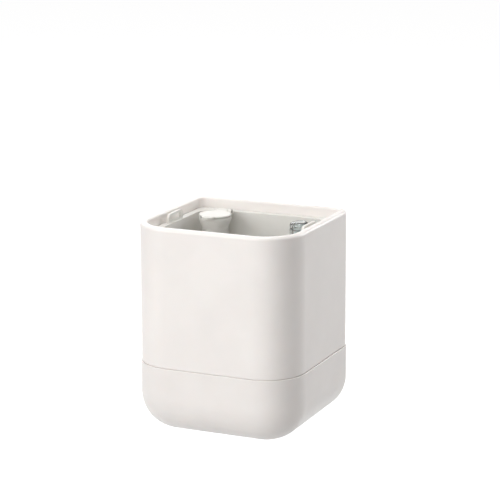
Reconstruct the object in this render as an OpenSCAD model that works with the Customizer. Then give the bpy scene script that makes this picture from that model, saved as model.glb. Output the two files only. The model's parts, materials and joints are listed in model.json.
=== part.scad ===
// Self-watering wall planter, hung on two hooks of a screwed steel bracket.
// The origin is on the wall, midway between the two wall screws. The wall is the plane y = 0,
// the planter hangs on its -Y side, and +Z is up. Millimetres.
// "Planter frame" below means the frame whose origin is the middle of the lower edge of the flat
// back, with y = 0 on the back and -body_d on the front.

/* [Body] */
// Width of the upper shell
body_w = 140; // [130:1:150]
// Depth of the upper shell, flat back to front
body_d = 132; // [128:1:144]
// Height of the whole planter
body_h = 171; // [164:1:180]
// Radius of the two front corners, seen from above
front_corner_r = 33; // [32.5:0.5:37]
// Radius of the two back corners, seen from above
back_corner_r = 14; // [13:0.5:16]
// Radius of the lower edge, along the front and the sides
base_edge_r = 31; // [24:0.5:32.5]
// Wall of both outer shells
shell_t = 2.2; // [2:0.1:2.6]

/* [Rim] */
// Width of the rolled rim, seen from above
rim_w = 6; // [5.6:0.1:6.6]
// Thickness of the rolled rim
rim_t = 2.6; // [2.5:0.1:3.2]
// Rounding of the rim's outer edge
rim_outer_r = 2.5; // [1:0.1:2.5]
// Rounding of the rim's inner edge
rim_inner_r = 1.3; // [0.5:0.1:2]
// Wall of the lip that hangs from the rim's inner edge
lip_t = 1.8; // [1.4:0.1:2]
// Drop from the rim to the ledge that carries the inner pot
ledge_drop = 11; // [9:0.5:14]
// Reach of the ledge past the lip
ledge_w = 4.2; // [3.5:0.1:5]
// Thickness of the ledge
ledge_t = 1.8; // [1.4:0.1:2.4]
// Depth of the gussets under the ledge
gusset_h = 9; // [6:0.5:14]

/* [Seam] */
// Height of the seam between the two outer shells
seam_z = 57; // [52:0.5:62]
// Width of the seam
seam_gap = 0.4; // [0.3:0.1:0.8]
// Rounding of the two edges that meet at the seam
seam_edge_r = 0.4; // [0.3:0.1:0.8]
// How far the lap behind the seam stands in from the upper shell's face
lap_in = 0.8; // [0.8:0.1:1.2]
// Height of the lap
lap_h = 1.2; // [1:0.1:2]
// Gap between the lap and the lip outside it
lap_clear = 0.3; // [0.2:0.05:0.4]
// How far the lower shell stands proud of the upper one
lower_proud = 0.7; // [0.4:0.05:0.9]
// Height of the skirt that plugs into the lower shell
skirt_h = 11; // [9:0.5:14]
// Wall of the skirt
skirt_t = 2.4; // [2.2:0.1:2.8]
// Gap between the skirt and the lower shell
skirt_clear = 0.5; // [0.35:0.05:0.7]
// Height of the gasket's groove
gasket_h = 3.2; // [2.6:0.1:4]
// Depth of the gasket's groove
gasket_depth = 1.1; // [0.8:0.1:1.3]
// Gap left outside the gasket
gasket_clear = 0.25; // [0.2:0.05:0.3]

/* [Wall bracket] */
// Distance from each end of the bracket's plate to the planter's side
plate_from_side = 18; // [17:1:21]
// Reach of the plate above the screws
plate_up = 25; // [22:1:28]
// Reach of the plate below the screws
plate_down = 16; // [14:1:20]
// Thickness of the plate and its hooks
plate_t = 2; // [1.6:0.1:2.5]
// Corner radius of the plate
plate_corner_r = 6; // [3:0.5:9]
// Distance from each wall screw to the middle of its hook
screw_from_hook = 17; // [15:1:20]
// Diameter of each screw hole
screw_hole_d = 4.5; // [4:0.1:5.5]
// Diameter of the countersink for each screw head
screw_head_d = 7.6; // [7:0.1:8]
// Distance from the rim down to the wall screws
screw_drop = 46; // [43:1:50]
// Distance from the middle of each hook to the planter's side
hook_from_side = 28; // [27:1:30]
// Width of each hook
hook_w = 14; // [10:0.5:15]
// Height of each hook's upturned finger
hook_h = 12; // [9:0.5:13]
// Height of the hooks' shelf above the screws
hook_rise = 7; // [5:0.5:9]
// Inner radius of the hooks' bends
bend_r = 1; // [0.6:0.1:1.2]
// Gap between the plate and the planter's back
hang_gap = 0.3; // [0.2:0.05:0.5]
// Gap between the finger and the wall that hangs behind it
throat_clear = 0.7; // [0.5:0.05:1]

/* [Inner pot] */
// Wall of the inner pot
pot_t = 1.8; // [1.5:0.1:2.2]
// Thickness of the pot's flange
flange_t = 2; // [1.6:0.1:2.6]
// Gap round the flange
flange_clear = 0.6; // [0.4:0.05:0.8]
// Gap between the ledge and the pot's wall
pot_clear = 0.6; // [0.5:0.1:1.2]
// Draft of the pot's walls in degrees
pot_draft = 3; // [2:0.25:4]
// Height of the pot's underside above the planter's underside
pot_base_z = 58; // [56:0.5:66]
// Corner radius at the pot's front, at its top
pot_front_r = 24; // [20:1:28]
// Corner radius at the pot's back, at its top
pot_back_r = 19; // [18:0.5:22]
// Radius of the pot's lower edge
pot_edge_r = 8; // [5:0.5:8.5]
// Diameter of each drain hole in the pot's floor
drain_hole_d = 4.5; // [3:0.5:6]
// Distance between neighbouring drain holes
drain_pitch = 17; // [13:0.5:24]
// Length of each grip on the flange
grip_l = 26; // [18:1:34]
// Height of each grip
grip_h = 8; // [5:0.5:8.5]

/* [Drainage grid] */
// Thickness of the grid
grid_t = 2; // [1.6:0.1:3]
// Height of the grid's feet
grid_stand = 9; // [8.5:0.5:14]
// Gap between the grid and the pot's wall
grid_clear = 0.6; // [0.4:0.1:1.2]
// Width of each slot
slot_w = 3; // [2:0.25:4]
// Length of each slot
slot_l = 13; // [8:0.5:15]
// Distance between the middles of neighbouring rows
slot_row = 8; // [7:0.5:11]

/* [Wicks] */
// Diameter of each wick rod
wick_d = 9; // [7:0.5:10]
// Distance between the two wicks
wick_spacing = 52; // [44:1:60]
// Distance from the planter's front to the wicks
wick_from_front = 52; // [46:1:58]
// Reach of the wicks above the grid
wick_above = 14; // [8:1:30]
// Gap between a wick and its collar
wick_clear = 0.1; // [0.05:0.05:0.2]
// Width of each collar's flange, past its neck
collar_w = 2; // [1.5:0.1:3]

/* [Filler] */
// Outer diameter of the fill tube
fill_d = 22; // [19:0.5:23]
// Wall of the fill tube
fill_t = 1.5; // [1.2:0.1:1.8]
// Distance from the planter's side to the fill tube
fill_from_side = 32; // [31:0.5:34]
// Distance from the planter's back to the fill tube
fill_from_back = 34; // [33:0.5:37]
// Outer diameter of the tube's mouth
mouth_d = 27; // [26:0.5:28]
// Height of the mouth's flare
mouth_h = 9; // [7:0.5:12]
// Distance from the rim down to the mouth
mouth_drop = 9; // [8:0.5:12]
// Thickness of the flap
flap_t = 1.8; // [1.4:0.1:2.2]
// Diameter of the flap's hinge pin
pin_d = 2; // [1.6:0.1:2.4]
// Gap between the hinge pin and the flap
pin_clear = 0.1; // [0.05:0.01:0.1]

/* [Level gauge] */
// Outer diameter of the gauge tube
gauge_d = 13; // [12:0.5:14]
// Wall of the gauge tube
gauge_t = 1.5; // [1.2:0.1:1.8]
// Distance from the planter's side to the gauge
gauge_from_side = 33; // [32:0.5:35]
// Distance from the planter's back to the gauge
gauge_from_back = 32; // [31:0.5:36]
// Height of the clear sight cap
sight_h = 36; // [34:1:44]
// Wall of the sight cap
sight_t = 1.5; // [1.2:0.1:1.8]
// Distance from the rim down to the top of the sight cap
sight_drop = 8; // [7:0.5:12]
// Diameter of the marker
marker_d = 8.6; // [7:0.2:9]
// Height of the marker
marker_h = 8; // [6:0.5:10]
// Diameter of the float's stem
stem_d = 2.5; // [2:0.1:3]
// Diameter of the float
float_d = 23; // [20:0.5:23.5]
// Height of the float
float_h = 12; // [10:0.5:14]
// Travel of the float, empty to full
float_travel = 28; // [22:1:28]
// Outer diameter of the float's cage
cage_d = 30; // [29:0.5:31]
// Wall of the float's cage
cage_t = 1.6; // [1.4:0.1:1.8]

/* [Drain and overflow] */
// Diameter of the drain plug's neck
plug_d = 10.4; // [8:0.2:12]
// Diameter of the drain plug's head
plug_head_d = 18; // [16:0.5:20]
// Thickness of the drain plug's head
plug_head_t = 2; // [1.6:0.1:2.6]
// Gap round the drain plug
plug_clear = 0.3; // [0.2:0.05:0.4]
// Diameter of the overflow hole in the lower shell's back
overflow_d = 5; // [4:0.5:6]
// Height of the overflow hole
overflow_z = 38; // [34:0.5:40]
// Height of the ribs on the lower shell's floor
floor_rib_h = 3; // [2:0.25:4]

/* [Wall bumpers] */
// Diameter of each rubber bumper
bumper_d = 14; // [10:0.5:16]
// Distance from the middle of each bumper to the planter's side
bumper_from_side = 26; // [24:1:30]
// Height of the bumpers above the seam
bumper_rise = 16; // [15:0.5:20]
// Diameter of each bumper's neck
bumper_neck_d = 5; // [4:0.25:6]

/* [Hidden] */
$fn = 64;

// Overrun of every cut, and the small gap at a seat that lifts off
cut = 1;
seat_gap = 0.3;
// Gap between pieces that are pushed together for good
push_gap = 0.05;
// Share of a straight run that is drawn from each of its ends
lap_share = 0.55;
// Thickness of ribs and gussets, and how deep they stand in the wall that carries them
rib_t = 1.6;
rib_bite = shell_t / 2;

// Lap, skirt and groove of the seam: distances in from the upper shell's outer face
lower_in = shell_t - lower_proud;
skirt_out = lower_in + skirt_clear;
skirt_in = skirt_out + skirt_t;
sleeve_low_z = seam_z + seam_gap / 2;
reservoir_top_z = seam_z - seam_gap / 2;
lap_low_z = sleeve_low_z - lap_h;
lip_low_z = lap_low_z - lap_clear;
skirt_root_h = 2 * shell_t;
groove_z = sleeve_low_z - skirt_h / 2 - gasket_h / 2;

// Ledge: its top, its underside and how far in it reaches
ledge_z = body_h - ledge_drop;
ledge_low_z = ledge_z - ledge_t;
ledge_in = rim_w + ledge_w;

// Hooks and the windows that hang on them
screw_line_z = body_h - screw_drop;
plate_w = body_w - 2 * plate_from_side;
plate_h = plate_up + plate_down;
hook_spacing = body_w - 2 * hook_from_side;
screw_spacing = hook_spacing - 2 * screw_from_hook;
hook_top_z = screw_line_z + hook_rise;
hang_lift = hook_h + seat_gap;
window_margin = 1.2;
window_top_z = hook_top_z + seat_gap;
window_h = seat_gap + plate_t + hang_lift + window_margin;
window_w = hook_w + 2 * window_margin;
window_bevel = bend_r + seat_gap;
window_rib_depth = 5;
throat = hang_gap + shell_t + throat_clear;

// Lower shell: its outline grows by lower_proud all round
lower_w = body_w + 2 * lower_proud;
lower_d = body_d + 2 * lower_proud;
lower_front_r = front_corner_r + lower_proud;
lower_back_r = back_corner_r + lower_proud;

// What hangs from the pot stays this high above the planter's underside
sump_clear = 4;
sump_z = shell_t + floor_rib_h + sump_clear;

// Inner pot: outline at its top, height and floor
flange_in = rim_w + flange_clear;
flange_low_z = ledge_z + seat_gap;
pot_top_z = flange_low_z + flange_t;
pot_in = ledge_in + pot_clear;
pot_w = body_w - 2 * pot_in;
pot_d = body_d - 2 * pot_in;
pot_floor_z = pot_base_z + pot_t;
function pot_lean(z) = (pot_top_z - z) * tan(pot_draft);
collar_ring_t = 1.6;
collar_ring_h = 6;
grip_t = 2;

// Places of the pieces that the pot's floor carries, in the planter frame
fill_at = [fill_from_side - body_w / 2, -fill_from_back];
gauge_at = [body_w / 2 - gauge_from_side, -gauge_from_back];
wick_at = [for (s = [-1, 1]) [s * wick_spacing / 2, -body_d + wick_from_front]];

// Wick collars
wick_bore_r = wick_d / 2 + wick_clear;
collar_neck_r = wick_bore_r + collar_ring_t;
collar_flange_r = collar_neck_r + collar_w;
collar_flange_t = 1.5;

// Drainage grid
grid_z = pot_floor_z + grid_stand;
grid_in = pot_t + pot_lean(grid_z) + grid_clear;
grid_hole_gap = 0.8;
foot_r = 3;
slot_bar = 4;

// Filler: radii, levels and hinge
fill_r = fill_d / 2;
mouth_r = mouth_d / 2;
mouth_z = body_h - mouth_drop;
shoulder_t = 2;
flap_z = mouth_z + seat_gap;
knuckle_r = pin_d / 2 + pin_clear + collar_ring_t - seat_gap;
hinge_gap = seat_gap;
hinge_y = mouth_r + knuckle_r + hinge_gap;
hinge_z = flap_z + flap_t - knuckle_r + shoulder_t / 2;
knuckle_l = 9;
lug_t = 3;
plug_ring_h = 1.2;
plug_ring_gap = 0.9;
thumb_r = 5;

// Level gauge: heights at rest, with the float down
gauge_r = gauge_d / 2;
gauge_bore_r = gauge_r - gauge_t;
sight_top_z = body_h - sight_drop;
sight_low_z = sight_top_z - sight_h;
sight_lap = 7;
sight_bore_r = gauge_r + push_gap;
gauge_top_z = sight_low_z + sight_lap;
guide_h = 4;
guide_gap = 0.35;
cage_floor_t = 1.6;
cage_bore_r = cage_d / 2 - cage_t;
spigot_h = 4;
float_z = sump_z + cage_floor_t + seat_gap;
marker_z = sight_top_z - sight_t - seat_gap - marker_h - float_travel;
cage_slots = 6;
cage_slot_share = 0.55;

// Drain plug
plug_r = plug_d / 2;
plug_hole_r = plug_r + plug_clear;
plug_head_r = plug_head_d / 2;
plug_grip_h = 1.6;
plug_grip_w = 3;
plug_recess_r = plug_head_r + plug_clear;
plug_recess_h = seat_gap + plug_grip_h + plug_head_t + seat_gap;
plug_tip = 0.8;
plug_at = [0, -body_d / 2];

// Wall bumpers
bumper_spacing = body_w - 2 * bumper_from_side;
bumper_z = seam_z + bumper_rise;
bumper_t = plate_t + hang_gap;
bumper_barb_r = bumper_neck_d / 2 + 3 * shell_t / 8;
bumper_barb_h = 1.5 * shell_t;
bumper_edge_r = 0.8;

// Colours, as the object shows them
shell_white = "#f2eeea";
inner_white = "#e9e7e2";
steel_white = "#e4e4e2";
rubber_grey = "#8d9093";
grid_grey = "#b9bcbd";
wick_cream = "#e6dfce";
pin_steel = "#b8bcc0";
clear_tint = "#dfeef2";
float_foam = "#f6f6f4";
marker_red = "#d8402c";

// Quarter disc between the +X and +Y axes
module quarter(r) {
    intersection() {
        circle(r = r);
        square(2 * r);
    }
}

// Pie slice of a disc, from angle a0 to angle a1, less than half a turn apart
module sector(r, a0, a1) {
    mid = (a0 + a1) / 2;
    far = 2 * r;
    intersection() {
        circle(r = r);
        polygon([[0, 0], far * [cos(a0), sin(a0)], 2 * far * [cos(mid), sin(mid)],
            far * [cos(a1), sin(a1)]]);
    }
}

// Strip of width w and height h, its outer face on x = 0, with both top edges rounded
module rounded_top(w, h, inner_r, outer_r) {
    translate([-outer_r, h - outer_r]) quarter(outer_r);
    translate([inner_r - w, h - inner_r]) rotate(90) quarter(inner_r);
    translate([inner_r - w, 0]) square([w - inner_r - outer_r, h]);
    translate([-outer_r, 0]) square([outer_r, h - outer_r]);
    translate([-w, 0]) square([inner_r, h - inner_r]);
}

// Outline seen from above: x within w / 2, y from -d to 0, larger corners at the front
module outline(w, d, front_r, back_r) {
    for (s = [0, 1]) mirror([s, 0]) {
        translate([w / 2 - front_r, front_r - d]) rotate(-90) quarter(front_r);
        translate([w / 2 - back_r, -back_r]) quarter(back_r);
    }
    translate([front_r - w / 2, -d]) square([w - 2 * front_r, front_r]);
    translate([back_r - w / 2, -back_r]) square([w - 2 * back_r, back_r]);
    translate([-w / 2, front_r - d]) square([w, d - front_r - back_r]);
}

// The body's outline, moved in by a distance, or out by a negative one
module body_outline(by) {
    translate([0, -by])
        outline(body_w - 2 * by, body_d - 2 * by, front_corner_r - by, back_corner_r - by);
}

// Takes a section, with x pointing out of the outline and y up, round an outline. Each straight
// run is drawn from both of its ends, and the two halves lap in the middle.
module around(w, d, front_r, back_r) {
    side_l = lap_share * (d - front_r - back_r);
    for (s = [0, 1]) mirror([s, 0, 0]) {
        translate([w / 2 - back_r, -back_r]) rotate_extrude(angle = 90)
            translate([back_r, 0]) children();
        translate([w / 2 - front_r, front_r - d]) rotate(-90) rotate_extrude(angle = 90)
            translate([front_r, 0]) children();
        translate([w / 2, -back_r]) rotate([90, 0, 0]) linear_extrude(side_l) children();
        translate([w / 2, front_r - d]) mirror([0, 1, 0]) rotate([90, 0, 0])
            linear_extrude(side_l) children();
        translate([w / 2 - front_r, -d]) rotate([90, 0, -90])
            linear_extrude(lap_share * (w - 2 * front_r)) children();
        translate([back_r - w / 2, 0]) rotate([90, 0, 90])
            linear_extrude(lap_share * (w - 2 * back_r)) children();
    }
}

// Takes a section round the body's outline
module around_body() {
    around(body_w, body_d, front_corner_r, back_corner_r) children();
}

// Stands a section of thickness t on a side of the body: 0 right, 90 back, 180 left, -90 front.
// "along" runs from the side's middle line, and "reach" is the distance out to the side.
module on_side(turn, reach, along, t) {
    rotate(turn) translate([reach, along]) rotate([90, 0, 0])
        linear_extrude(t, center = true) children();
}

// Moves the planter frame to where the planter hangs
module hung() {
    translate([0, -plate_t - hang_gap, -screw_line_z]) children();
}

// Side view of one hook: x is forward from the wall, y is up, and the shelf's top is y = 0
module hook_section() {
    shelf_l = plate_t + throat + plate_t;
    outer_r = bend_r + plate_t;
    difference() {
        union() {
            translate([outer_r, -plate_t]) square([shelf_l - 2 * outer_r, plate_t]);
            translate([shelf_l - outer_r, bend_r]) rotate(-90) quarter(outer_r);
            translate([shelf_l - plate_t, bend_r])
                square([plate_t, hook_h - bend_r - plate_t / 2]);
            translate([shelf_l - plate_t / 2, hook_h - plate_t / 2]) circle(r = plate_t / 2);
            translate([outer_r, bend_r]) rotate(180) quarter(outer_r);
        }
        translate([shelf_l - outer_r, bend_r]) circle(r = bend_r);
        translate([outer_r, bend_r]) circle(r = bend_r);
    }
}

// Stamped steel plate with two hooks pressed out of it and two countersunk screw holes
module wall_bracket() {
    slot_h = plate_t + throat + hook_h;
    relief_r = plate_t / 2;
    notch = plate_t;
    color(steel_white) {
        difference() {
            rotate([90, 0, 0]) linear_extrude(plate_t)
                difference() {
                    translate([0, plate_up])
                        outline(plate_w, plate_h, plate_corner_r, plate_corner_r);
                    for (s = [-1, 1]) {
                        translate([s * hook_spacing / 2 - hook_w / 2, hook_rise + bend_r - slot_h])
                            square([hook_w, slot_h]);
                        for (e = [-1, 1])
                            translate([s * hook_spacing / 2 + e * (hook_w / 2 + relief_r),
                                hook_rise + bend_r - relief_r])
                                circle(r = relief_r);
                        for (e = [-1, 1])
                            translate([s * hook_spacing / 2 + e * (hook_w / 2 + relief_r)
                                - relief_r, hook_rise + bend_r - slot_h])
                                square([2 * relief_r, slot_h - relief_r]);
                        translate([0, (plate_up - plate_down + s * plate_h) / 2]) rotate(45)
                            square(notch, center = true);
                    }
                }
            for (s = [-1, 1]) translate([s * screw_spacing / 2, 0, 0]) rotate([90, 0, 0]) {
                translate([0, 0, -cut]) cylinder(d = screw_hole_d, h = plate_t + 2 * cut);
                translate([0, 0, plate_t - (screw_head_d - screw_hole_d) / 2])
                    cylinder(d1 = screw_hole_d, d2 = screw_head_d,
                        h = (screw_head_d - screw_hole_d) / 2);
            }
        }
        for (s = [-1, 1]) translate([s * hook_spacing / 2, 0, hook_rise])
            rotate([0, 0, -90]) rotate([90, 0, 0])
                linear_extrude(hook_w, center = true) hook_section();
    }
}

// Section of the upper shell: rolled rim with a lip and a ledge, wall, lap and grooved skirt
module sleeve_section() {
    foot_top_z = sleeve_low_z + skirt_root_h;
    difference() {
        union() {
            translate([0, body_h - rim_t]) rounded_top(rim_w, rim_t, rim_inner_r, rim_outer_r);
            translate([-shell_t, sleeve_low_z + seam_edge_r])
                square([shell_t, body_h - rim_t - sleeve_low_z - seam_edge_r]);
            translate([-seam_edge_r, sleeve_low_z + seam_edge_r]) rotate(-90)
                quarter(seam_edge_r);
            translate([-skirt_in, sleeve_low_z])
                square([skirt_in - seam_edge_r, skirt_root_h]);
            translate([-skirt_in, lap_low_z])
                square([skirt_in - lap_in, lap_h + skirt_root_h]);
            polygon([[-shell_t, foot_top_z], [-skirt_in, foot_top_z],
                [-shell_t, foot_top_z + 2 * (skirt_in - shell_t)]]);
            translate([-skirt_in, sleeve_low_z - skirt_h]) square([skirt_t, skirt_h]);
            translate([-rim_w, ledge_z]) square([lip_t, body_h - rim_t - ledge_z]);
            translate([-ledge_in, ledge_low_z]) square([ledge_w + lip_t, ledge_t]);
        }
        translate([-skirt_out - gasket_depth, groove_z]) square([gasket_depth + cut, gasket_h]);
    }
}

// Gusset between the wall and the ledge that it carries
module gusset_section() {
    polygon([[-rib_bite, ledge_low_z + ledge_t / 2], [-ledge_in, ledge_low_z + ledge_t / 2],
        [-ledge_in, ledge_low_z - rib_t / 2], [-shell_t, ledge_low_z - gusset_h],
        [-rib_bite, ledge_low_z - gusset_h]]);
}

// Upper shell, one moulding: rim, walls, ledge, skirt and the two windows that hang on the hooks
module sleeve() {
    side_run = body_d - front_corner_r - back_corner_r;
    side_mid = -back_corner_r - side_run / 2;
    front_run = body_w - 2 * front_corner_r;
    rib_x = window_w / 2 + rib_t / 2;
    window_low_z = window_top_z - window_h;
    color(shell_white) hung() difference() {
        union() {
            around_body() sleeve_section();
            for (k = [-1, 0, 1]) {
                on_side(0, body_w / 2, side_mid + k * side_run / 3, rib_t) gusset_section();
                on_side(180, body_w / 2, -side_mid + k * side_run / 3, rib_t) gusset_section();
                on_side(-90, body_d, k * front_run / 3, rib_t) gusset_section();
            }
            on_side(90, 0, 0, rib_t) gusset_section();
            for (s = [-1, 1]) {
                for (e = [-1, 1])
                    on_side(90, 0, s * hook_spacing / 2 + e * rib_x, rib_t)
                        translate([-shell_t - window_rib_depth, window_low_z - rib_t])
                            square([window_rib_depth + rib_bite,
                                ledge_low_z + ledge_t / 2 - window_low_z + rib_t]);
                on_side(90, 0, s * hook_spacing / 2, window_w)
                    translate([-shell_t - window_rib_depth, window_low_z - rib_t])
                        square([window_rib_depth + rib_bite, rib_t]);
            }
        }
        for (s = [-1, 1]) {
            on_side(90, 0, s * hook_spacing / 2, window_w) {
                translate([-shell_t - cut, window_low_z]) square([shell_t + 2 * cut, window_h]);
                polygon([[cut, window_top_z - cut], [-window_bevel, window_top_z - cut],
                    [-window_bevel, window_top_z], [0, window_top_z + window_bevel],
                    [cut, window_top_z + window_bevel]]);
            }
            translate([s * bumper_spacing / 2, cut, bumper_z]) rotate([90, 0, 0])
                cylinder(d = bumper_neck_d + 2 * push_gap, h = shell_t + 2 * cut);
        }
    }
}

// Push-in rubber bumpers that keep the planter's foot off the wall
module wall_bumpers() {
    neck_r = bumper_neck_d / 2;
    color(rubber_grey) hung()
        for (s = [-1, 1]) translate([s * bumper_spacing / 2, 0, bumper_z]) rotate([-90, 0, 0])
            rotate_extrude() {
                translate([0, -push_gap]) square([neck_r, bumper_t / 2]);
                square([bumper_d / 2, bumper_t - bumper_edge_r]);
                square([bumper_d / 2 - bumper_edge_r, bumper_t]);
                translate([bumper_d / 2 - bumper_edge_r, bumper_t - bumper_edge_r])
                    quarter(bumper_edge_r);
                translate([0, -shell_t - push_gap]) square([neck_r, shell_t + 2 * push_gap]);
                polygon([[0, -shell_t - push_gap], [bumper_barb_r, -shell_t - push_gap],
                    [neck_r, -shell_t - bumper_barb_h], [0, -shell_t - bumper_barb_h]]);
            }
}

// Silicone ring in the skirt's groove, with one bead towards the lower shell
module seam_gasket() {
    face_in = lower_in + gasket_clear;
    bead_r = gasket_h / 4;
    color(rubber_grey) hung() around_body() {
        translate([push_gap - skirt_out - gasket_depth, groove_z + push_gap])
            square([skirt_out + gasket_depth - push_gap - face_in - bead_r,
                gasket_h - 2 * push_gap]);
        translate([-face_in - bead_r, groove_z + gasket_h / 2]) rotate(-90) quarter(bead_r);
        translate([-face_in - bead_r, groove_z + gasket_h / 2]) quarter(bead_r);
    }
}

// Section through the front of the lower shell's form, with x = 0 at the corner's own axis
module bowl_front(r, edge_r) {
    square([r - edge_r, edge_r]);
    translate([r - edge_r, edge_r]) rotate(-90) quarter(edge_r);
}

// Section through the back of the lower shell's form, with x = 0 at the back corner's axis
module bowl_back(r, edge_r) {
    translate([0, r]) {
        square([r, edge_r - r]);
        rotate(-90) quarter(r);
    }
}

// Section across the lower shell's form, between its corners
module bowl_across(w, edge_r) {
    for (s = [0, 1]) mirror([s, 0]) translate([w / 2 - edge_r, edge_r]) rotate(-90)
        quarter(edge_r);
    translate([edge_r - w / 2, 0]) square([w - 2 * edge_r, edge_r]);
}

// Solid of the lower shell's form, moved in by a distance, up to a height.
// The lower edge is rolled round the front and the sides, and the back face has a smaller
// rounding all round it. Its straight runs are lapped as in "around".
module bowl(by, top_z) {
    w = lower_w - 2 * by;
    d = lower_d - 2 * by;
    front_r = lower_front_r - by;
    back_r = lower_back_r - by;
    edge_r = base_edge_r - by;
    side_l = lap_share * (d - front_r - back_r);
    translate([0, lower_proud - by, by]) {
        translate([0, 0, edge_r]) linear_extrude(top_z - by - edge_r)
            outline(w, d, front_r, back_r);
        translate([0, -back_r, 0]) rotate([90, 0, 0]) linear_extrude(side_l)
            bowl_across(w, edge_r);
        translate([0, front_r - d, 0]) mirror([0, 1, 0]) rotate([90, 0, 0])
            linear_extrude(side_l) bowl_across(w, edge_r);
        for (s = [0, 1]) mirror([s, 0, 0]) {
            translate([w / 2 - front_r, front_r - d]) {
                rotate(-90) rotate_extrude(angle = 90) bowl_front(front_r, edge_r);
                rotate([90, 0, -90]) linear_extrude(lap_share * (w - 2 * front_r))
                    bowl_front(front_r, edge_r);
            }
            translate([w / 2 - edge_r, -back_r, edge_r]) rotate([-90, 0, 0])
                rotate_extrude(angle = 90) {
                    square([edge_r - back_r, back_r]);
                    translate([edge_r - back_r, 0]) quarter(back_r);
                }
            translate([edge_r - w / 2, -back_r]) rotate([90, 0, 90])
                linear_extrude(lap_share * (w - 2 * edge_r)) bowl_back(back_r, edge_r);
        }
    }
}

// Lower shell, one moulding: the water tank
module reservoir() {
    rib_run = lower_w - 2 * base_edge_r;
    rib_step = rib_run / 2;
    boss_r = plug_recess_r + shell_t;
    color(shell_white) hung() difference() {
        union() {
            difference() {
                bowl(0, lip_low_z);
                bowl(shell_t, reservoir_top_z + cut);
            }
            translate([0, lower_proud, lip_low_z])
                around(lower_w, lower_d, lower_front_r, lower_back_r)
                    rounded_top(lower_proud + lap_in - lap_clear, reservoir_top_z - lip_low_z,
                        seam_edge_r / 2, seam_edge_r);
            translate(plug_at) cylinder(r = boss_r, h = plug_recess_h + shell_t);
            for (k = [-1, 1]) {
                translate([k * rib_step / 2 - rib_t / 2, -body_d / 2 - rib_run / 2, rib_bite])
                    cube([rib_t, rib_run, shell_t - rib_bite + floor_rib_h]);
                translate([-rib_run / 2, -body_d / 2 + k * rib_step / 2 - rib_t / 2, rib_bite])
                    cube([rib_run, rib_t, shell_t - rib_bite + floor_rib_h]);
            }
        }
        translate([plug_at.x, plug_at.y, -cut]) {
            cylinder(r = plug_recess_r, h = plug_recess_h + cut);
            cylinder(r = plug_hole_r, h = plug_recess_h + shell_t + 2 * cut);
        }
        translate([0, lower_proud + cut, overflow_z]) rotate([90, 0, 0])
            cylinder(d = overflow_d, h = shell_t + 2 * cut);
    }
}

// Rubber plug in the recess under the water tank, with a bar to pull it by
module drain_plug() {
    head_z = seat_gap + plug_grip_h;
    neck_h = plug_head_t + seat_gap + shell_t + plug_clear;
    color(rubber_grey) hung() translate([plug_at.x, plug_at.y, head_z]) {
        cylinder(r = plug_head_r, h = plug_head_t);
        rotate_extrude() polygon([[0, 0], [plug_r, 0], [plug_r, neck_h],
            [plug_r - plug_tip, neck_h + 2 * plug_tip], [0, neck_h + 2 * plug_tip]]);
        intersection() {
            translate([0, 0, -plug_grip_h]) cylinder(r = plug_head_r - cut, h = plug_head_t);
            translate([0, 0, plug_head_t / 2 - plug_grip_h])
                cube([plug_head_d, plug_grip_w, plug_head_t], center = true);
        }
    }
}

// Section through the pot's solid form: leaning side and rounded lower edge, from x = 0 inwards
// to "deep". "by" moves its faces in.
module pot_section(by, top_z, deep) {
    edge_r = pot_edge_r - by;
    low_z = pot_base_z + by;
    face_x = -by / cos(pot_draft);
    function lean(z) = face_x - pot_lean(z);
    centre_z = low_z + edge_r;
    centre_x = lean(centre_z) - edge_r / cos(pot_draft);
    touch = [centre_x + edge_r * cos(pot_draft), centre_z - edge_r * sin(pot_draft)];
    polygon([[-deep, top_z], [lean(top_z), top_z], touch, [centre_x, centre_z],
        [centre_x, low_z], [-deep, low_z]]);
    translate([centre_x, centre_z]) sector(edge_r, -90 - 4 * pot_draft, 3 * pot_draft);
}

// Solid of the pot's form, its faces moved in by a distance, up to a height
module pot_form(by, top_z) {
    deep = pot_back_r - by - push_gap;
    translate([0, -pot_in, 0]) {
        around(pot_w, pot_d, pot_front_r, pot_back_r) pot_section(by, top_z, deep);
        translate([0, -deep, pot_base_z + by]) linear_extrude(top_z - pot_base_z - by)
            outline(pot_w - 2 * deep, pot_d - 2 * deep, pot_front_r - deep, pot_back_r - deep);
    }
}

// Upright grip on the flange, for lifting the pot out, with a finger slot
module pot_grip() {
    grip_r = grip_h / 2;
    rotate([90, 0, 90]) linear_extrude(grip_t, center = true) difference() {
        union() {
            for (e = [-1, 1]) translate([e * (grip_l / 2 - grip_r), grip_h - grip_r])
                circle(r = grip_r);
            translate([-grip_l / 2, -flange_t / 2])
                square([grip_l, grip_h - grip_r + flange_t / 2]);
            translate([grip_r - grip_l / 2, 0]) square([grip_l - 2 * grip_r, grip_h]);
        }
        translate([-grip_l / 3, grip_h / 4]) square([2 * grip_l / 3, grip_h / 2]);
    }
}

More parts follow.
